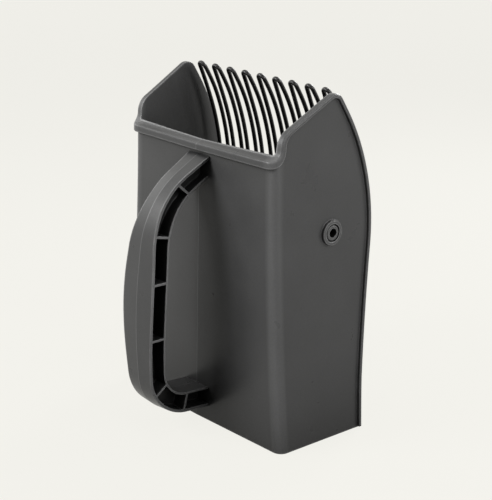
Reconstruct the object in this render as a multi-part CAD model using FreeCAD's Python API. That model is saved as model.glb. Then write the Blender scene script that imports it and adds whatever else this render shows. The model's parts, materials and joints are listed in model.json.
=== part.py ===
import FreeCAD, Part
import math
import os

# Berry picking rake, in millimetres. It stands on its closed end at z = 0 with its mouth up.
# X is the width, and x = 0 is the plane of symmetry. The handle is on the -Y side, the tines on the +Y side.

# Box shell: plan
half_width_base = 75.6
half_width_rim = 63.4
side_bow = 2.36
side_flare_share = 0.064
back_lean_share = 0.029
back_ridge = 1.2
corner_radius_base = 6.0
corner_radius_rim = 4.0
corner_radius_least = 0.6
wall = 2.0
base_wall = 2.2

# Box shell: outline of the side walls, seen along X
rim_height = 175.6
box_depth = 64.2
bend_height_share = 0.167
bend_depth_share = 0.038
belly_height_share = 0.9055
belly_depth_share = 0.2862
peak_rise = 35.5
peak_depth_share = 0.787
knee_rise = 13.3
knee_depth_share = 0.1355
rim_end_share = 0.123
bend_radius = 400.0
belly_radius = 130.0
peak_radius = 7.3
knee_radius = 12.0
rim_end_radius = 7.0

# Rim bead along the back, and the lip that it turns into along the sides
bead_height = 4.6
bead_proud = 2.7
bead_end_share = 0.291
bead_blend_radius = 12.0
steep_lip = 3.6
lip_height = 2.6
lip_proud = 1.9
lip_top_round_share = 0.5
lip_low_round_share = 0.2
flange_thickness = 2.6

# Handle
handle_top_share = 0.9447
handle_low_share = 0.0556
handle_reach = 47.0
handle_slope_share = 0.561
handle_upper_share = 0.789
handle_upper_height_share = 0.8347
handle_belly_height_share = 0.4415
handle_low_depth_share = 0.928
handle_heel_drop = 4.4
handle_shoulder_radius = 55.0
handle_belly_radius = 315.0
handle_heel_radius = 30.0
handle_depth = 11.3
handle_low_depth = 12.4
crown_top = 0.9
crown_grip = 0.6
crown_low = 1.1
outer_strap = 1.5
inner_strap = 1.2
handle_web = 2.0
handle_rib = 1.4
handle_half_width = 13.9
# Half width of the handle along its height: share of the rim height, share of the greatest half width
handle_width_shares = [
    (0.99, 0.79), (0.87, 0.557), (0.73, 0.751), (0.52, 0.98), (0.33, 0.884), (0.16, 0.763), (0.02, 0.88),
]
# Cross ribs: share of the reach, share of the rim height, and tilt in degrees
handle_rib_shares = [
    (0.292, 0.857, -43.0), (0.708, 0.722, -14.0), (0.823, 0.568, -3.0),
    (0.872, 0.370, -2.0), (0.797, 0.173, 35.0), (0.385, 0.108, 72.0),
]

# Front panel, whose thick top edge is the comb bar
panel_thickness = 2.2
panel_clearance = 0.2
comb_bar_depth = 11.0
comb_bar_height = 15.0
comb_bar_round = 2.5
comb_bar_top_share = 0.495
ledge_width = 3.0
ledge_thickness = 1.6

# Tines: hairpins of round wire
tine_count = 9
comb_side_gap = 4.45
prong_spacing = 8.12
tip_spacing = 4.9
tip_taper = 23.8
wire_radius = 1.3
socket_clearance = 0.05
socket_depth = 11.0
tine_inset = 6.2
tine_slope_share = 0.12
tine_straight_share = 0.655
tine_bow_radius = 153.7
tine_sweep_degrees = 35.5

# Flap and its pivot pins
pivot_depth_share = 0.7333
pivot_height_share = 0.7203
boss_radius = 7.7
boss_proud = 1.5
boss_round = 0.5
pad_reach = 2.6
pad_radius = 6.6
pin_head_radius = 4.75
pin_head_height = 1.6
pin_head_chamfer = 0.5
pin_head_gap = 0.7
pin_shank_radius = 3.9
pin_bore_radius = 2.85
pin_engagement = 9.0
pivot_clearance = 0.06
flap_end_gap = 0.6
flap_length = 28.0
flap_thickness = 1.8
flap_barrel_radius = 6.2
flap_bore_depth = 10.5
flap_tip_radius = 0.8

# One overrun serves all cuts, one limit tells which edges follow a surface, and rounded corners of an
# outline may take this share of a side between them
overrun = 12.0
follow_limit = 0.014
corner_room_share = 0.96

# Sizes worked out from those above
bead_base = rim_height - bead_height
peak_height = rim_height + peak_rise
block_height = peak_height + overrun
block_depth = box_depth * (1 + belly_depth_share) + overrun
bead_end = box_depth * bead_end_share
bar_top = rim_height * comb_bar_top_share
pivot_depth = box_depth * pivot_depth_share
pivot_height = rim_height * pivot_height_share
half_span = half_width_base + box_depth
lip_least = min(flange_thickness, lip_height, steep_lip)
lip_top_round = min(lip_least * lip_top_round_share, lip_proud * (1 - lip_low_round_share / 2))
lip_low_round = lip_least * lip_low_round_share
station_shares = [0.0, 0.33, 0.67, 1.0]
taper_shares = [0.0, 0.33, 0.67, 1.0]
tine_lean = math.atan(tine_slope_share)


def across(x):
    """Places an outline's (depth, height) in the plane at x, seen along X."""
    return lambda depth, height: FreeCAD.Vector(x, depth, height)


def level(height):
    """Places an outline's (x, depth) in the level plane at a height."""
    return lambda x, depth: FreeCAD.Vector(x, depth, height)


def unit_sides(corners):
    """Unit direction and length of each side of a closed outline, from its corner to the next."""
    sides = []
    for i, here in enumerate(corners):
        there = corners[(i + 1) % len(corners)]
        run = FreeCAD.Vector(there[0] - here[0], there[1] - here[1], 0)
        length = run.Length
        sides.append((run / length, length))
    return sides


def turn_angle(before, after):
    """Signed turn from one unit direction to the next, positive to the left."""
    return math.atan2(before.x * after.y - before.y * after.x, before.dot(after))


def tangent_reaches(sides, radii):
    """How far each corner's arc reaches along its two sides, limited by the room on them."""
    count = len(radii)
    turns = [turn_angle(sides[i - 1][0], sides[i][0]) for i in range(count)]
    reaches = [radii[i] * math.tan(abs(turns[i]) / 2) for i in range(count)]
    room = []
    for i in range(count):
        both = reaches[i] + reaches[(i + 1) % count]
        room.append(min(1.0, corner_room_share * sides[i][1] / both) if both > 0 else 1.0)
    return [reaches[i] * min(room[i - 1], room[i]) for i in range(count)], turns


def rounded_wire(corners, radii, place):
    """Closed wire through the corners, with each one rounded by its radius."""
    sides = unit_sides(corners)
    reaches, turns = tangent_reaches(sides, radii)
    points = [FreeCAD.Vector(a, b, 0) for a, b in corners]
    starts = [points[i] - sides[i - 1][0] * reaches[i] for i in range(len(points))]
    ends = [points[i] + sides[i][0] * reaches[i] for i in range(len(points))]
    edges = []
    for i, point in enumerate(points):
        if reaches[i] > 0:
            half = abs(turns[i]) / 2
            radius = reaches[i] / math.tan(half)
            inward = sides[i][0] - sides[i - 1][0]
            middle = point + inward / inward.Length * (radius / math.cos(half) - radius)
            arc = [place(p.x, p.y) for p in (starts[i], middle, ends[i])]
            edges.append(Part.Arc(*arc).toShape())
        after = starts[(i + 1) % len(points)]
        edges.append(Part.LineSegment(place(ends[i].x, ends[i].y), place(after.x, after.y)).toShape())
    return Part.Wire(edges)


def inset(corners, depths):
    """The closed outline with each side, from its corner to the next, moved inward by its own depth."""
    lines = []
    for (along, length), here, depth in zip(unit_sides(corners), corners, depths):
        inward = FreeCAD.Vector(-along.y, along.x, 0)
        lines.append((FreeCAD.Vector(here[0], here[1], 0) + inward * depth, along))
    moved = []
    for i, (point, along) in enumerate(lines):
        before, direction = lines[i - 1]
        gap = point - before
        slant = direction.x * along.y - direction.y * along.x
        share = (gap.x * along.y - gap.y * along.x) / slant
        moved.append((before.x + direction.x * share, before.y + direction.y * share))
    return moved


def inset_radii(corners, radii, depths):
    """Corner radii that go with an inset outline: smaller at outer corners, larger at inner ones."""
    sides = unit_sides(corners)
    changed = []
    for i, radius in enumerate(radii):
        depth = (depths[i - 1] + depths[i]) / 2
        outer_corner = turn_angle(sides[i - 1][0], sides[i][0]) > 0
        changed.append(max(radius - depth if outer_corner else radius + depth, 0) if radius > 0 else 0)
    return changed


def prism(corners, radii, x_from, x_to):
    """Outline seen along X, made solid between two places on X."""
    face = Part.Face(rounded_wire(corners, radii, across(x_from)))
    return face.extrude(FreeCAD.Vector(x_to - x_from, 0, 0))


def both_sides(shape):
    """The shape and its mirror image about the plane of symmetry."""
    return [shape, shape.mirror(FreeCAD.Vector(0, 0, 0), FreeCAD.Vector(1, 0, 0))]


# Box shell

def half_width(height):
    """Half width of the box at its back corner line: drafted, and bowed inward at mid height."""
    share = height / bead_base
    straight = half_width_base + (half_width_rim - half_width_base) * share
    return straight - side_bow * (1 - (2 * share - 1) ** 2)


def corner_radius(height):
    """Radius of the box's back corners, wider at the base."""
    return corner_radius_base + (corner_radius_rim - corner_radius_base) * height / bead_base


def side_x(depth, height):
    """Outer surface of the side wall."""
    return half_width(height) + side_flare_share * depth


def plan_outline(right_corners, right_radii, ridge_y):
    """Closed plan outline from its right-hand corners, back to front, and the ridge of the back wall."""
    left_corners = [(-x, y) for x, y in reversed(right_corners)]
    corners = [(0, ridge_y)] + right_corners + left_corners
    return corners, [0] + right_radii + right_radii[::-1]


def box_section(height, grow):
    """Plan of the box at a height, with every wall moved outward by grow."""
    back = back_lean_share * height - grow
    right = [(side_x(back, height) + grow, back), (side_x(block_depth, height) + grow, block_depth)]
    radii = [max(corner_radius(height) + grow, corner_radius_least), 0]
    return rounded_wire(*plan_outline(right, radii, back - back_ridge), level(height))


def rim_section(height):
    """Plan of the bead and lip: the bead's reach at the back, blending to the lip's along the sides."""
    back = back_lean_share * height - bead_proud
    right = [
        (side_x(back, height) + bead_proud, back),
        (side_x(bead_end, height) + lip_proud, bead_end),
        (side_x(block_depth, height) + lip_proud, block_depth),
    ]
    radii = [corner_radius(height) + bead_proud, bead_blend_radius, 0]
    return rounded_wire(*plan_outline(right, radii, back - back_ridge), level(height))


def box_block(grow, low):
    """Solid of the box's plan from a low height to above its peaks."""
    heights = [low + (block_height - low) * share for share in station_shares]
    return Part.makeLoft([box_section(height, grow) for height in heights], True)


def side_outline():
    """Corners and radii of the side wall's outline, open past the back wall."""
    back = -handle_reach
    corners = [
        (back, 0),
        (box_depth, 0),
        (box_depth * (1 + bend_depth_share), rim_height * bend_height_share),
        (box_depth * (1 + belly_depth_share), rim_height * belly_height_share),
        (box_depth * peak_depth_share, peak_height),
        (box_depth * knee_depth_share, rim_height + knee_rise),
        (box_depth * rim_end_share, rim_height),
        (back, rim_height),
    ]
    return corners, [0, 0, bend_radius, belly_radius, peak_radius, knee_radius, rim_end_radius, 0]


def front_strip(depth, thickness, low, high):
    """Strip that follows the front edge from one height to another, starting at a depth behind it."""
    corners, radii = side_outline()
    strips = []
    for inward in (depth, depth + thickness):
        depths = [-overrun, inward, inward, inward, 0, 0, 0, 0]
        moved = inset(corners, depths)
        strips.append(prism(moved, inset_radii(corners, radii, depths), -half_span, half_span))
    layer = Part.makeBox(half_span * 2, half_span, high - low, FreeCAD.Vector(-half_span, 0, low))
    return strips[0].cut(strips[1]).common(layer)


def inner_points(edge):
    """Three points on an edge, away from its ends."""
    reach = edge.LastParameter - edge.FirstParameter
    return [edge.valueAt(edge.FirstParameter + reach * share) for share in (0.2, 0.5, 0.8)]


def is_outer_edge(edge):
    """True for an edge of the rim band on its outward face, past the walls of the box."""
    for point in inner_points(edge):
        beside = abs(point.x) > side_x(point.y, point.z) + lip_proud / 2
        behind = point.y < back_lean_share * point.z - bead_proud / 2
        if not (beside or behind):
            return False
    return True


def lies_on(edge, solid):
    """True for an edge that follows the surface of a solid."""
    skin = Part.makeShell(solid.Faces)
    return all(skin.distToShape(Part.Vertex(point))[0] < follow_limit for point in inner_points(edge))


def rim():
    """Bead along the back wall, lip up the slopes and round the peaks, and flange down the front edges."""
    corners, radii = side_outline()
    depths = [
        -overrun, flange_thickness, flange_thickness, flange_thickness,
        lip_height, steep_lip, bead_height, -overrun,
    ]
    whole = prism(corners, radii, -half_span, half_span)
    core = prism(inset(corners, depths), inset_radii(corners, radii, depths), -half_span, half_span)
    block = Part.makeLoft([rim_section(block_height * share) for share in station_shares], True)
    band = block.common(whole.cut(core))
    for surface, radius in ((core, lip_low_round), (whole, lip_top_round)):
        edges = [edge for edge in band.Edges if is_outer_edge(edge) and lies_on(edge, surface)]
        band = band.makeFillet(radius, edges)
    return band


def pivot_boss():
    """Raised ring outside the right wall and the pad inside it, before the holes."""
    face = side_x(pivot_depth, pivot_height) + boss_proud
    inner = side_x(pivot_depth, pivot_height) - wall
    axis = FreeCAD.Vector(1, 0, 0)
    ring_start = FreeCAD.Vector(inner, pivot_depth, pivot_height)
    ring = Part.makeCylinder(boss_radius, face - inner, ring_start, axis)
    outer_edge = [edge for edge in ring.Edges if edge.BoundBox.XMin > face - boss_proud]
    ring = ring.makeFillet(boss_round, outer_edge)
    pad_start = FreeCAD.Vector(inner - pad_reach, pivot_depth, pivot_height)
    pad = Part.makeCylinder(pad_radius, pad_reach + wall / 2, pad_start, axis)
    return ring, pad


def pivot_holes():
    """Hole for the pin's shank and the seat for its head, in the right wall."""
    face = side_x(pivot_depth, pivot_height) + boss_proud
    axis = FreeCAD.Vector(1, 0, 0)
    start = FreeCAD.Vector(face - pin_head_height, pivot_depth, pivot_height)
    seat = Part.makeCylinder(pin_head_radius + pin_head_gap, pin_head_height + overrun, start, axis)
    far = FreeCAD.Vector(0, pivot_depth, pivot_height)
    hole = Part.makeCylinder(pin_shank_radius, face, far, axis)
    return seat.fuse(hole)


def box_shell():
    """Tray of back, side and base walls, open at the mouth and the front."""
    corners, radii = side_outline()
    outer = box_block(0, 0).common(prism(corners, radii, -half_span, half_span))
    ring, pad = pivot_boss()
    shell = outer.fuse([rim()] + both_sides(ring))
    hollow = box_block(-wall, base_wall)
    shell = shell.cut(hollow)
    ledges = front_strip(panel_thickness, ledge_thickness, base_wall, bar_top - comb_bar_height)
    ledges = ledges.common(box_block(-wall / 2, 0)).cut(box_block(-wall - ledge_width, 0))
    shell = shell.fuse([ledges] + both_sides(pad))
    return shell.cut(both_sides(pivot_holes())).removeSplitter()


# Handle

def handle_outline():
    """Corners and radii of the handle's edge, seen along X, from under the bead down to the heel."""
    top = rim_height * handle_top_share
    low = rim_height * handle_low_share
    upper_depth = handle_reach * handle_upper_share
    corners = [
        (overrun, top + overrun * handle_slope_share),
        (-upper_depth, rim_height * handle_upper_height_share),
        (-handle_reach, rim_height * handle_belly_height_share),
        (-handle_reach * handle_low_depth_share, low + handle_heel_drop),
        (overrun, low - overrun * handle_heel_drop / handle_reach),
    ]
    return corners, [0, handle_shoulder_radius, handle_belly_radius, handle_heel_radius, 0]


def handle_ring(x_from, x_to, outer_depths, inner_depths):
    """Hoop between two insets of the handle's edge, between two places on X."""
    corners, radii = handle_outline()
    hoops = []
    for depths in (outer_depths, inner_depths):
        hoops.append(prism(inset(corners, depths), inset_radii(corners, radii, depths), x_from, x_to))
    return hoops[0].cut(hoops[1])


def handle_crown():
    """Right half of the hoop, whose outer face slopes from the crease at x = 0 to the handle's edge."""
    corners, radii = handle_outline()
    crease = [-crown_top, -crown_grip, -crown_grip, -crown_low, 0]
    edge = [0, 0, 0, 0, 0]
    wires = []
    for x, depths in ((0, crease), (handle_half_width, edge)):
        moved = inset(corners, depths)
        wires.append(rounded_wire(moved, inset_radii(corners, radii, depths), across(x)))
    hollow = handle_depths(0)
    side = handle_half_width + overrun
    opening = prism(inset(corners, hollow), inset_radii(corners, radii, hollow), -overrun, side)
    return Part.makeLoft(wires, True, True).cut(opening)


def handle_depths(less):
    """Depth from the handle's edge to the face towards the fingers, less an amount."""
    return [handle_depth - less, handle_depth - less, handle_depth - less, handle_low_depth - less, -overrun]


def handle_ribs():
    """Slabs that cross the pockets."""
    ribs = []
    for reach_share, height_share, tilt in handle_rib_shares:
        middle = FreeCAD.Vector(0, -handle_reach * reach_share, rim_height * height_share)
        long = handle_low_depth * 2
        start = middle - FreeCAD.Vector(handle_half_width, long / 2, handle_rib / 2)
        slab = Part.makeBox(handle_half_width * 2, long, handle_rib, start)
        ribs.append(slab.rotate(middle, FreeCAD.Vector(1, 0, 0), tilt))
    return ribs


def handle_width():
    """The handle's outline seen along Y: a swell at the grip."""
    right = [FreeCAD.Vector(handle_half_width * w, 0, rim_height * h) for h, w in handle_width_shares]
    left = [FreeCAD.Vector(-point.x, 0, point.z) for point in reversed(right)]
    edges = []
    for side in (right, left):
        curve = Part.BSplineCurve()
        curve.interpolate(side)
        edges.append(curve.toShape())
    top = Part.LineSegment(left[-1], right[0]).toShape()
    low = Part.LineSegment(right[-1], left[0]).toShape()
    face = Part.Face(Part.Wire([edges[0], low, edges[1], top]))
    plan = face.extrude(FreeCAD.Vector(0, half_span * 2, 0))
    return plan.translate(FreeCAD.Vector(0, -half_span, 0))


def handle():
    """Hoop of an outer and an inner strap on a middle web, with cross ribs between them."""
    right, left = both_sides(handle_crown())
    body = right.fuse(left).common(handle_width())
    strap_out = [outer_strap, outer_strap, outer_strap, outer_strap, -overrun]
    strap_in = handle_depths(inner_strap)
    pocket = handle_ring(handle_web / 2, handle_half_width + overrun, strap_out, strap_in)
    pocket = pocket.cut(handle_ribs())
    body = body.cut(both_sides(pocket))
    return body.cut([box_block(0, 0), rim()]).removeSplitter()


# Front panel and comb

def hairpin_middle(index):
    """Place of a hairpin on X: they share out the width between the side walls."""
    wall_face = side_x(box_depth, bead_base) - wall
    outermost = wall_face - comb_side_gap - wire_radius - prong_spacing / 2
    return outermost * (2 * index / (tine_count - 1) - 1)


def tine_foot(x):
    """Floor of a prong's socket at x, and the prong's direction there."""
    corners, radii = side_outline()
    foot, apex = corners[2], corners[3]
    run, rise = apex[0] - foot[0], apex[1] - foot[1]
    edge_depth = foot[0] + run * (bar_top - foot[1]) / rise
    along = FreeCAD.Vector(0, math.sin(tine_lean), math.cos(tine_lean))
    mouth = FreeCAD.Vector(x, edge_depth - tine_inset, bar_top)
    return mouth - along * socket_depth, along


def bow_point(x, lean):
    """Point on a prong's bow at x where it leans by an angle, and its direction there."""
    floor, along = tine_foot(x)
    straight = socket_depth + (rim_height * tine_straight_share - bar_top) / math.cos(tine_lean)
    bend = floor + along * straight
    centre = bend + FreeCAD.Vector(0, -math.cos(tine_lean), math.sin(tine_lean)) * tine_bow_radius
    point = centre + FreeCAD.Vector(0, math.cos(lean), -math.sin(lean)) * tine_bow_radius
    return point, FreeCAD.Vector(0, math.sin(lean), math.cos(lean))


def prong(middle, side):
    """Edges of one prong's centre line, from its socket's floor up to where the tip's bend begins."""
    x = middle + side * prong_spacing / 2
    tip_lean = tine_lean - math.radians(tine_sweep_degrees)
    taper_lean = tip_lean + tip_taper / tine_bow_radius
    floor = tine_foot(x)[0]
    bend = bow_point(x, tine_lean)[0]
    half_way = bow_point(x, (tine_lean + taper_lean) / 2)[0]
    start, direction = bow_point(x, taper_lean)
    drawn_in = side * (prong_spacing - tip_spacing) / 2
    points = []
    for share in taper_shares:
        point = bow_point(x, taper_lean + (tip_lean - taper_lean) * share)[0]
        points.append(point - FreeCAD.Vector(drawn_in * share ** 2, 0, 0))
    last = bow_point(x, tip_lean)[1] - FreeCAD.Vector(drawn_in * 2 / tip_taper, 0, 0)
    taper = Part.BSplineCurve()
    taper.interpolate(points, InitialTangent=direction, FinalTangent=last)
    straight = Part.LineSegment(floor, bend).toShape()
    return [straight, Part.Arc(bend, half_way, start).toShape(), taper.toShape()], points[-1]


def tine(index):
    """Hairpin of round wire: two prongs drawn in towards the bend that joins them at the tip."""
    middle = hairpin_middle(index)
    left, left_end = prong(middle, -1)
    right, right_end = prong(middle, 1)
    tip_lean = tine_lean - math.radians(tine_sweep_degrees)
    slant = math.atan((prong_spacing - tip_spacing) / tip_taper)
    crest, direction = bow_point(middle, tip_lean)
    crest = crest + direction * (tip_spacing / 2 * (1 - math.sin(slant)) / math.cos(slant))
    bend = Part.Arc(left_end, crest, right_end).toShape()
    floor, along = tine_foot(middle - prong_spacing / 2)
    section = Part.Wire([Part.Circle(floor, along, wire_radius).toShape()])
    return Part.Wire(left + [bend] + right[::-1]).makePipeShell([section], True, False)


def comb_sockets():
    """Holes for the prongs in the comb bar."""
    sockets = []
    for index in range(tine_count):
        middle = hairpin_middle(index)
        for x in (middle - prong_spacing / 2, middle + prong_spacing / 2):
            floor, along = tine_foot(x)
            radius = wire_radius + socket_clearance
            sockets.append(Part.makeCylinder(radius, socket_depth + overrun, floor, along))
    return sockets


def front_panel():
    """Plate that closes the lower front between the side walls, with the comb bar along its top edge."""
    plate = front_strip(0, panel_thickness, base_wall, bar_top)
    bar = front_strip(0, comb_bar_depth, bar_top - comb_bar_height, bar_top)
    lower = [edge for edge in bar.Edges if runs_along_x(edge) and is_inner_corner(edge, bar)]
    bar = bar.makeFillet(comb_bar_round, lower)
    panel = plate.fuse(bar).common(box_block(-wall - panel_clearance, 0))
    return panel.cut(comb_sockets()).removeSplitter()


def runs_along_x(edge):
    """True for a straight edge along the width."""
    first, last = edge.Vertexes[0].Point, edge.Vertexes[-1].Point
    return abs(first.x - last.x) > block_depth and abs(first.z - last.z) < wall


def is_inner_corner(edge, bar):
    """True for the comb bar's two long edges on the side of the box's hollow."""
    box = bar.BoundBox
    return edge.Vertexes[0].Point.y < (box.YMin + box.YMax) / 2


# Flap and pins

def pin_right():
    """Hollow pin with a flat head, pressed into the boss of the right wall."""
    face = side_x(pivot_depth, pivot_height) + boss_proud
    axis = FreeCAD.Vector(1, 0, 0)
    inner_end = flap_half_width() - pin_engagement
    head_start = FreeCAD.Vector(face - pin_head_height, pivot_depth, pivot_height)
    head = Part.makeCylinder(pin_head_radius, pin_head_height, head_start, axis)
    rim_edge = [edge for edge in head.Edges if edge.BoundBox.XMin > face - pin_head_chamfer]
    head = head.makeChamfer(pin_head_chamfer, rim_edge)
    shank_start = FreeCAD.Vector(inner_end, pivot_depth, pivot_height)
    shank = Part.makeCylinder(pin_shank_radius, face - inner_end - pin_head_height / 2, shank_start, axis)
    bore = Part.makeCylinder(pin_bore_radius, face - inner_end + overrun, shank_start, axis)
    return head.fuse(shank).cut(bore).removeSplitter()


def flap_half_width():
    """Half width of the flap, with a gap to the pads on the side walls."""
    return side_x(pivot_depth, pivot_height) - wall - pad_reach - flap_end_gap


def flap():
    """Plate hanging from a barrel that turns on the two pins."""
    half = flap_half_width()
    barrel_start = FreeCAD.Vector(-half, pivot_depth, pivot_height)
    axis = FreeCAD.Vector(1, 0, 0)
    barrel = Part.makeCylinder(flap_barrel_radius, half * 2, barrel_start, axis)
    tip = pivot_height - flap_length
    plate_start = FreeCAD.Vector(-half, pivot_depth - flap_thickness / 2, tip)
    plate = Part.makeBox(half * 2, flap_thickness, flap_length, plate_start)
    low_edges = [edge for edge in plate.Edges if edge.BoundBox.ZMax < tip + flap_thickness]
    tip_edges = [edge for edge in low_edges if edge.BoundBox.XLength > half]
    plate = plate.makeFillet(flap_tip_radius, tip_edges)
    bore_start = FreeCAD.Vector(half - flap_bore_depth, pivot_depth, pivot_height)
    bore_radius = pin_shank_radius + pivot_clearance
    bore = Part.makeCylinder(bore_radius, flap_bore_depth + overrun, bore_start, axis)
    return barrel.fuse(plate).cut(both_sides(bore)).removeSplitter()


def export(shape, name):
    """Writes one piece as a STEP file under its own name."""
    solids = shape.Solids
    single = solids[0] if len(solids) == 1 else Part.makeCompound(solids)
    print(name, len(solids), "solid", single.isValid(), round(single.Volume))
    single.exportStep("parts/" + name + ".step")


os.makedirs("parts", exist_ok=True)
export(box_shell(), "box_shell")
export(handle(), "handle")
export(front_panel(), "front_panel")
for number in range(tine_count):
    export(tine(number), "tine_" + str(number + 1))
export(flap(), "flap")
pins = both_sides(pin_right())
export(pins[0], "flap_pin_right")
export(pins[1], "flap_pin_left")
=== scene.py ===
import json
import math

import bpy
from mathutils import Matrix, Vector

# Berry picking rake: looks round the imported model. Metres, in the model's own frame: it stands on
# z = 0, x = 0 is its plane of symmetry, the handle is on the -Y side and the tines on the +Y side.
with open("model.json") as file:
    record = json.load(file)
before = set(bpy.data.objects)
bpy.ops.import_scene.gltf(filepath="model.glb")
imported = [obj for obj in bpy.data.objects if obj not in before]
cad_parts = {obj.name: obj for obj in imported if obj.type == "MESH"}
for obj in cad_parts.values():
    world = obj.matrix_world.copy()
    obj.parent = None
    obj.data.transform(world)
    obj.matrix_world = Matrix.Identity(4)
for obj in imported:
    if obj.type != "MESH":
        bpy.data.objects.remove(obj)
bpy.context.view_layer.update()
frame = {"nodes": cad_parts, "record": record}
nodes = frame["nodes"]

# Camera
camera_azimuth = 48.271
camera_elevation = 18.859
camera_distance = 0.8041
camera_target = Vector((-0.0002, 0.0408, 0.0998))
camera_clip = (0.01, 20.0)
focal_length_px = 1283.6
frame_height_px = 500
sensor_mm = 36.0

# Surroundings and floor. Between two distances the floor's own glow turns into that of the
# surroundings.
background_colour = (0.880, 0.871, 0.823, 1.0)
world_light = (1.0, 1.0, 1.0, 1.0)
world_strength = 0.03
floor_half = 3.0
floor_drop = 0.0002
floor_glow = 0.963
floor_fade = (0.8, 2.8)
floor_share = 0.04
floor_light = 0.15

# Each lamp: azimuth from -Y towards +X and elevation in degrees, distance and size in metres, and
# power in watts
lamp_aim = Vector((0.0, 0.03, 0.1))
lamps = {
    "key": (-27, 33, 0.72, 0.24, 3.2),
    "low": (-14, 7, 1.1, 0.24, 2.5),
    "side": (95, 27, 0.56, 0.38, 1.85),
    "glint": (-40, 36, 0.80, 0.10, 0.5),
    "left": (-76, 24, 0.80, 0.46, 1.45),
    "overhead": (20, 80, 0.65, 0.20, 1.1),
    "behind": (192, 32, 0.80, 0.30, 5.5),
    "far_side": (140, 26, 0.80, 0.26, 1.8),
}

# Places on the model: the rim's height, the parting line, the back corners of the box and the
# handle's rims
rim_height = 0.171
parting_half_width = 0.00034
parting_depth_end = 0.010
corner_half_width = 0.0756
corner_draft = 0.0122
corner_bow = 0.00944
corner_lean = 0.029
corner_reach = 0.0075
handle_rim_start = 0.005
handle_rim_full = 0.006
handle_rim_depth_end = -0.002

# Noises: lumps per metre, detail and roughness
cloud_noise = (22.0, 3.0, 0.5)
wave_noise = (26.0, 1.0, 0.4)
smudge_noise = (55.0, 4.0, 0.6)
patch_noise = (130.0, 3.0, 0.6)
scuff_noise = (320.0, 4.0, 0.7)
mottle_noise = (900.0, 2.0, 0.6)
grain_noise = (2600.0, 2.0, 0.6)
scratch_noise = (1.0, 2.0, 0.7)
scratch_stretch = (900.0, 1400.0, 60.0)
wire_noise = (180.0, 3.0, 0.5)
peel_noise = (900.0, 2.0, 0.5)

# Ramps: two values of the source, then the two values that it is turned into
cloud_tone = (0.32, 0.68, 0.93, 1.07)
mottle_tone = (0.3, 0.7, 0.95, 1.05)
# Painted shade, darker towards the bottom
painted_height_shade = (0.0, rim_height, 0.94, 1.05)
# Painted shade where nearby surfaces shelter a point
near_occlusion_shade = (0.10, 0.62, 0.18, 1.0)
wide_occlusion_shade = (0.40, 0.95, 0.28, 1.0)
edge_lean = (0.90, 0.995, 1.0, 0.0)
edge_patches = (0.30, 0.62, 0.65, 1.0)
# Painted highlight on the back corners, stronger low down
corner_fade = (0.0, corner_reach, 1.0, 0.0)
corner_height = (0.0, 0.12, 1.9, 1.05)
# Painted highlight along the seam, which also has a real raised bump
seam_fade = (0.0, parting_half_width, 1.0, 0.0)
# Painted highlight on the handle's sideways rims
handle_rim_fade = (handle_rim_start, handle_rim_full, 0.0, 1.0)
sideways_fade = (0.85, 0.95, 0.0, 1.0)
scratch_lines = (0.70, 0.78, 0.0, 1.0)
scratch_patches = (0.48, 0.66, 0.0, 0.16)
scuff_height = (0.0, 0.010, 1.0, 0.0)
scuff_patches = (0.52, 0.70, 0.0, 0.35)
smudge_span = (0.3, 0.7)
wire_tone = (0.35, 0.7, 0.0035, 0.008)
wire_roughness = (0.3, 0.7, 0.30, 0.40)

# How much lighter the painted highlights on the edges, the seam, the back corners and the handle's
# rims are, and how much smoother the rubbed edges
edge_painted_highlight = 2.8
seam_painted_highlight = 1.1
corner_painted_highlight = 0.95
handle_rim_painted_highlight = 1.3
edge_polish = 0.15

# Bumps: strength and height
wave_bump = (0.25, 0.0004)
seam_bump = (0.6, 0.0001)
grain_bump = (0.30, 0.00003)
peel_bump = (0.12, 0.00004)

# Each plastic: tone, roughness, radius of its edges and reach of their rubbed band, which also
# carries the painted edge highlight
plastics = {
    "body_plastic": (0.065, 0.32, 0.0006, 0.0016),
    "flap_plastic": (0.060, 0.34, 0.0005, 0.0012),
    "pin_plastic": (0.068, 0.32, 0.0004, 0.0010),
}
roughness_swing = 0.05
# Reaches and samples of the painted shade in sheltered places
near_reach = 0.014
wide_reach = 0.060
occlusion_shade_samples = 8
edge_samples = 6
plastic_mirror_share = 0.22
wire_mirror_share = 0.3
wire_coat = 0.12
wire_coat_roughness = 0.2


def node(tree, kind, **values):
    """New shader node with its settings and the values of its sockets."""
    made = tree.nodes.new(kind)
    for key, value in values.items():
        if key in made.inputs:
            made.inputs[key].default_value = value
        else:
            setattr(made, key, value)
    return made


def material(name, build):
    """New node material, filled in by build, which gets its tree and its Principled shader."""
    mat = bpy.data.materials.new(name)
    mat.use_nodes = True
    tree = mat.node_tree
    build(tree, tree.nodes["Principled BSDF"])
    return mat


def object_place(tree):
    """Point on the object in the model's own frame, in metres."""
    return node(tree, "ShaderNodeTexCoord").outputs["Object"]


def along_axes(tree, vector):
    """The three outputs X, Y and Z of a vector."""
    split = node(tree, "ShaderNodeSeparateXYZ")
    tree.links.new(vector, split.inputs["Vector"])
    return split.outputs


def noise(tree, place, kind):
    """Noise at a place, of one of the kinds named above."""
    scale, detail, roughness = kind
    made = node(tree, "ShaderNodeTexNoise", Scale=scale, Detail=detail, Roughness=roughness)
    tree.links.new(place, made.inputs["Vector"])
    return made.outputs["Fac"]


def stretched(tree, place, scale):
    """Place stretched by its own factor along each axis."""
    made = node(tree, "ShaderNodeMapping", Scale=scale)
    tree.links.new(place, made.inputs["Vector"])
    return made.outputs["Vector"]


def ramp(tree, source, span):
    """Source's value sent through a ramp: two values of the source, then the two results."""
    made = node(tree, "ShaderNodeMapRange")
    for name, value in zip(("From Min", "From Max", "To Min", "To Max"), span):
        made.inputs[name].default_value = value
    tree.links.new(source, made.inputs["Value"])
    return made.outputs["Result"]


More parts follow.
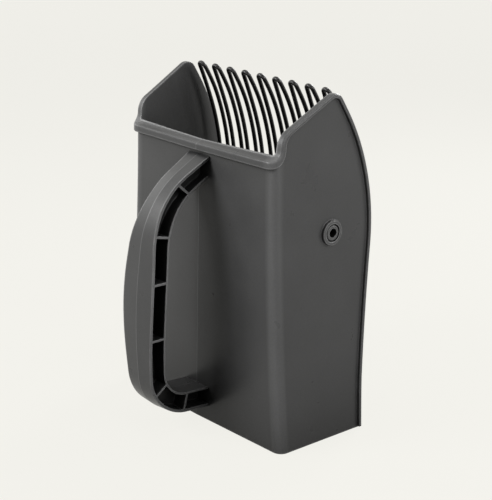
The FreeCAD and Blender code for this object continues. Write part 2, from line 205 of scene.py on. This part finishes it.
def math_node(tree, operation, *operands):
    """Result of an operation on values, each of which may be a socket or a number."""
    made = node(tree, "ShaderNodeMath", operation=operation)
    for socket, value in zip(made.inputs, operands):
        if isinstance(value, (int, float)):
            socket.default_value = value
        else:
            tree.links.new(value, socket)
    return made.outputs["Value"]


def times(tree, *factors):
    """Product of two or more values."""
    product = factors[0]
    for factor in factors[1:]:
        product = math_node(tree, "MULTIPLY", product, factor)
    return product


def plus(tree, *terms):
    """Sum of two or more values."""
    total = terms[0]
    for term in terms[1:]:
        total = math_node(tree, "ADD", total, term)
    return total


def minus(tree, first, second):
    return math_node(tree, "SUBTRACT", first, second)


def size_of(tree, value):
    """A value without its sign."""
    return math_node(tree, "ABSOLUTE", value)


def colour_grey(tree, value, shader):
    """Neutral grey of a varying value as the shader's colour."""
    colour = node(tree, "ShaderNodeCombineColor")
    for channel in ("Red", "Green", "Blue"):
        tree.links.new(value, colour.inputs[channel])
    tree.links.new(colour.outputs["Color"], shader.inputs["Base Color"])


def bumped(tree, height, bump, normal=None):
    """Normal with a bump of a varying height laid over it."""
    strength, distance = bump
    made = node(tree, "ShaderNodeBump", Strength=strength, Distance=distance)
    tree.links.new(height, made.inputs["Height"])
    if normal is not None:
        tree.links.new(normal, made.inputs["Normal"])
    return made.outputs["Normal"]


def occlusion_shade(tree, distance, span):
    """Painted shade: a ramp over how openly a point lies among the surfaces within a distance."""
    made = node(tree, "ShaderNodeAmbientOcclusion", samples=occlusion_shade_samples, Distance=distance)
    return ramp(tree, made.outputs["AO"], span)


def rubbed_and_highlit_edges(tree, reach, patches):
    """High in patches along edges, where the rounded normal leans away from the surface's own:
    drives the painted edge highlight and the smoother rubbed edges.
    """
    rounded = node(tree, "ShaderNodeBevel", samples=edge_samples, Radius=reach)
    sharp = node(tree, "ShaderNodeNewGeometry")
    facing = node(tree, "ShaderNodeVectorMath", operation="DOT_PRODUCT")
    tree.links.new(rounded.outputs["Normal"], facing.inputs[0])
    tree.links.new(sharp.outputs["Normal"], facing.inputs[1])
    leaning = ramp(tree, facing.outputs["Value"], edge_lean)
    return times(tree, leaning, ramp(tree, patches, edge_patches))


def parting_line(tree, place):
    """Fine raised seam of the mould in the plane of symmetry, on the handle's side."""
    at = along_axes(tree, place)
    seam = ramp(tree, size_of(tree, at["X"]), seam_fade)
    return times(tree, seam, math_node(tree, "LESS_THAN", at["Y"], parting_depth_end))


def painted_corner_highlight(tree, place):
    """Painted highlight along the two upright corners at the back of the box, which follow its
    draft and bow, stronger low down.
    """
    at = along_axes(tree, place)
    share = times(tree, at["Z"], 1.0 / rim_height)
    bow = times(tree, share, minus(tree, 1.0, share), corner_bow)
    half_width = minus(tree, minus(tree, corner_half_width, times(tree, share, corner_draft)), bow)
    across = minus(tree, size_of(tree, at["X"]), half_width)
    along = minus(tree, at["Y"], times(tree, at["Z"], corner_lean))
    apart = plus(tree, times(tree, across, across), times(tree, along, along))
    near = ramp(tree, math_node(tree, "SQRT", apart), corner_fade)
    return times(tree, near, ramp(tree, at["Z"], corner_height))


def painted_handle_rim_highlight(tree, place):
    """Painted highlight on the narrow rims of the handle's straps and ribs, which face sideways."""
    at = along_axes(tree, place)
    facing = along_axes(tree, node(tree, "ShaderNodeTexCoord").outputs["Normal"])
    outer = ramp(tree, size_of(tree, at["X"]), handle_rim_fade)
    behind = math_node(tree, "LESS_THAN", at["Y"], handle_rim_depth_end)
    return times(tree, outer, behind, ramp(tree, size_of(tree, facing["X"]), sideways_fade))


def scratches(tree, place, patches):
    """Fine upright scratches, in patches."""
    lines = noise(tree, stretched(tree, place, scratch_stretch), scratch_noise)
    return times(tree, ramp(tree, lines, scratch_lines), ramp(tree, patches, scratch_patches))


def scuffs(tree, place):
    """Scuffs along the foot."""
    low = ramp(tree, along_axes(tree, place)["Z"], scuff_height)
    return times(tree, low, ramp(tree, noise(tree, place, scuff_noise), scuff_patches))


def tone_with_painted_shade(tree, place):
    """Uneven tone of the plastic, times painted shade where the surface lies sheltered and painted
    shade darker towards the bottom.
    """
    clouds = ramp(tree, noise(tree, place, cloud_noise), cloud_tone)
    mottle = ramp(tree, noise(tree, place, mottle_noise), mottle_tone)
    # Painted shade, darker towards the bottom
    height_shade = ramp(tree, along_axes(tree, place)["Z"], painted_height_shade)
    near = occlusion_shade(tree, near_reach, near_occlusion_shade)
    wide = occlusion_shade(tree, wide_reach, wide_occlusion_shade)
    return times(tree, clouds, mottle, near, wide, height_shade)


def moulded_plastic(tone, roughness, edge_radius, rub_and_highlight_reach):
    """Dark grey moulded plastic with a fine grain, smoother rubbed edges, a mould seam and light
    use, with painted highlights on edges, seam, back corners and handle rims, and painted shade.
    """
    def build(tree, shader):
        place = object_place(tree)
        patches = noise(tree, place, patch_noise)
        edges = rubbed_and_highlit_edges(tree, rub_and_highlight_reach, patches)
        seam = parting_line(tree, place)
        # Painted highlights on the edges, seam, back corners and handle rims, plus lighter
        # scratches and scuffs from use
        painted_highlights_and_wear = plus(
            tree,
            # painted highlight along the edges
            times(tree, edges, edge_painted_highlight),
            # painted highlight along the seam
            times(tree, seam, seam_painted_highlight),
            # painted highlight on the back corners
            times(tree, painted_corner_highlight(tree, place), corner_painted_highlight),
            # painted highlight on the handle's rims
            times(tree, painted_handle_rim_highlight(tree, place), handle_rim_painted_highlight),
            scratches(tree, place, patches),
            scuffs(tree, place),
        )
        value = times(tree, tone_with_painted_shade(tree, place), plus(tree, painted_highlights_and_wear, 1.0), tone)
        colour_grey(tree, value, shader)

        swing = smudge_span + (roughness - roughness_swing, roughness + roughness_swing)
        smudges = ramp(tree, noise(tree, place, smudge_noise), swing)
        gloss = minus(tree, smudges, times(tree, edges, edge_polish))
        tree.links.new(gloss, shader.inputs["Roughness"])

        rounded = node(tree, "ShaderNodeBevel", samples=edge_samples, Radius=edge_radius)
        waves = bumped(tree, noise(tree, place, wave_noise), wave_bump, rounded.outputs["Normal"])
        ridge = bumped(tree, seam, seam_bump, waves)
        grain = bumped(tree, noise(tree, place, grain_noise), grain_bump, ridge)
        tree.links.new(grain, shader.inputs["Normal"])
        shader.inputs["Specular IOR Level"].default_value = plastic_mirror_share
    return build


def coated_wire(tree, shader):
    """Black coating on spring wire, a little uneven, with a dull shine."""
    place = object_place(tree)
    lumps = noise(tree, place, wire_noise)
    colour_grey(tree, ramp(tree, lumps, wire_tone), shader)
    tree.links.new(ramp(tree, lumps, wire_roughness), shader.inputs["Roughness"])
    tree.links.new(bumped(tree, noise(tree, place, peel_noise), peel_bump), shader.inputs["Normal"])
    shader.inputs["Specular IOR Level"].default_value = wire_mirror_share
    shader.inputs["Coat Weight"].default_value = wire_coat
    shader.inputs["Coat Roughness"].default_value = wire_coat_roughness


def dress_nodes():
    """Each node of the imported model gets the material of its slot."""
    looks = {name: material(name, moulded_plastic(*values)) for name, values in plastics.items()}
    looks["wire"] = material("wire", coated_wire)
    for part in frame["record"]["subparts"]:
        piece = nodes[part["node"]]
        piece.data.materials.clear()
        piece.data.materials.append(looks[part["material_slot"]])


def shows_plainly(tree):
    """1 for rays that show it: straight, mirrored or through something. 0 for the others."""
    path = node(tree, "ShaderNodeLightPath")
    seen = math_node(tree, "MAXIMUM", path.outputs["Is Camera Ray"], path.outputs["Is Glossy Ray"])
    return math_node(tree, "MAXIMUM", seen, path.outputs["Is Transmission Ray"])


def show_or_light(tree, shown, light, out):
    """Output that is one shader where it is seen and another where it lights the object."""
    mix = node(tree, "ShaderNodeMixShader")
    tree.links.new(shows_plainly(tree), mix.inputs[0])
    tree.links.new(light.outputs[0], mix.inputs[1])
    tree.links.new(shown.outputs[0], mix.inputs[2])
    tree.links.new(mix.outputs[0], out.inputs["Surface"])


def studio_world():
    """Pale surroundings where they are seen, and a dimmer even light for the object."""
    world = bpy.data.worlds.new("studio")
    world.use_nodes = True
    tree = world.node_tree
    tree.nodes.clear()
    shown = node(tree, "ShaderNodeBackground", Color=background_colour, Strength=1.0)
    light = node(tree, "ShaderNodeBackground", Color=world_light, Strength=world_strength)
    show_or_light(tree, shown, light, node(tree, "ShaderNodeOutputWorld"))
    bpy.context.scene.world = world


def floor_material():
    """Plain pale colour and soft shadow where it is seen, and a dim bounce for the object."""
    mat = bpy.data.materials.new("floor")
    mat.use_nodes = True
    tree = mat.node_tree
    tree.nodes.clear()
    plain = node(tree, "ShaderNodeEmission", Color=background_colour)
    away = node(tree, "ShaderNodeVectorMath", operation="LENGTH")
    tree.links.new(object_place(tree), away.inputs[0])
    glow = ramp(tree, away.outputs["Value"], floor_fade + (floor_glow, 1.0))
    tree.links.new(glow, plain.inputs["Strength"])
    lit_colour = tuple(channel * floor_share for channel in background_colour[:3]) + (1.0,)
    lit = node(tree, "ShaderNodeBsdfDiffuse", Color=lit_colour)
    shown = node(tree, "ShaderNodeAddShader")
    tree.links.new(plain.outputs[0], shown.inputs[0])
    tree.links.new(lit.outputs[0], shown.inputs[1])
    bounce = node(tree, "ShaderNodeBsdfDiffuse", Color=(floor_light, floor_light, floor_light, 1.0))
    show_or_light(tree, shown, bounce, node(tree, "ShaderNodeOutputMaterial"))
    return mat


def studio_floor():
    """Large floor just under the base face."""
    mesh = bpy.data.meshes.new("floor")
    corners = [(-1, -1), (1, -1), (1, 1), (-1, 1)]
    points = [(x * floor_half, y * floor_half, -floor_drop) for x, y in corners]
    mesh.from_pydata(points, [], [(0, 1, 2, 3)])
    floor = bpy.data.objects.new("floor", mesh)
    bpy.context.scene.collection.objects.link(floor)
    floor.data.materials.append(floor_material())


def direction(azimuth, elevation):
    """Unit direction at an azimuth from -Y towards +X and an elevation, both in degrees."""
    turn, rise = math.radians(azimuth), math.radians(elevation)
    level = math.cos(rise)
    return Vector((math.sin(turn) * level, -math.cos(turn) * level, math.sin(rise)))


def place_facing(thing, target, back, distance):
    """An object at a distance from its target, looking at it, with its back to a direction."""
    bpy.context.scene.collection.objects.link(thing)
    thing.location = target + back * distance
    thing.rotation_mode = "QUATERNION"
    thing.rotation_quaternion = (-back).to_track_quat("-Z", "Y")


def area_light(name, azimuth, elevation, distance, size, power):
    """Square soft lamp that faces the object."""
    data = bpy.data.lights.new(name, "AREA")
    data.shape = "SQUARE"
    data.size = size
    data.energy = power
    lamp = bpy.data.objects.new(name, data)
    place_facing(lamp, lamp_aim, direction(azimuth, elevation), distance)


def photo_camera():
    """The photograph's viewpoint."""
    data = bpy.data.cameras.new("camera")
    data.sensor_fit = "AUTO"
    data.sensor_width = sensor_mm
    data.lens = focal_length_px * sensor_mm / frame_height_px
    data.clip_start, data.clip_end = camera_clip
    camera = bpy.data.objects.new("camera", data)
    back = direction(camera_azimuth, camera_elevation)
    place_facing(camera, camera_target, back, camera_distance)
    bpy.context.scene.camera = camera


dress_nodes()
photo_camera()
studio_world()
studio_floor()
for name, values in lamps.items():
    area_light(name, *values)
bpy.context.scene.view_settings.view_transform = "Standard"
